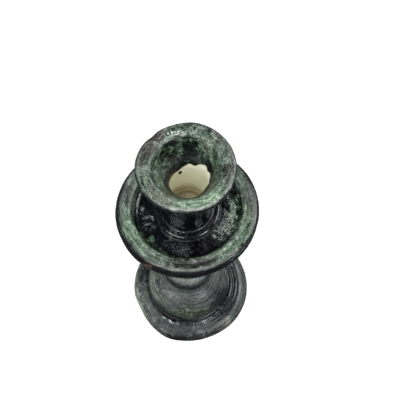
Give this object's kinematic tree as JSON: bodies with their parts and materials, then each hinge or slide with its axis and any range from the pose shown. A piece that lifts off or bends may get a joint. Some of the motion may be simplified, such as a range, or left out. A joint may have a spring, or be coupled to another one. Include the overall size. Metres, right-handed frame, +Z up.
{
  "type": "ceramic candlestick",
  "caption": "Hand-thrown glazed earthenware candlestick: hollow bell base with turned rings, slim stem, drip pan and flared cup with a blind socket for a dinner candle.",
  "frame": {"origin": "centre of the standing ring, on the surface that the candlestick stands on", "axes": "+Z up the stem, out of the candle socket; the piece is turned about Z, so X and Y are free"},
  "size_m": [0.0967, 0.0968, 0.207],
  "materials": {
    "bisque_clay": "matte bare fired clay",
    "green_glaze": "glossy mottled green and black lead-type glaze"
  },
  "bodies": {
    "root": {"base_bell": "bisque_clay", "bell_joint_coil": "bisque_clay", "stem_column": "bisque_clay", "pan_joint_coil": "bisque_clay", "drip_pan": "bisque_clay", "cup_joint_coil": "bisque_clay", "candle_cup": "bisque_clay", "glaze_coat": "green_glaze"}
  },
  "joints": []
}
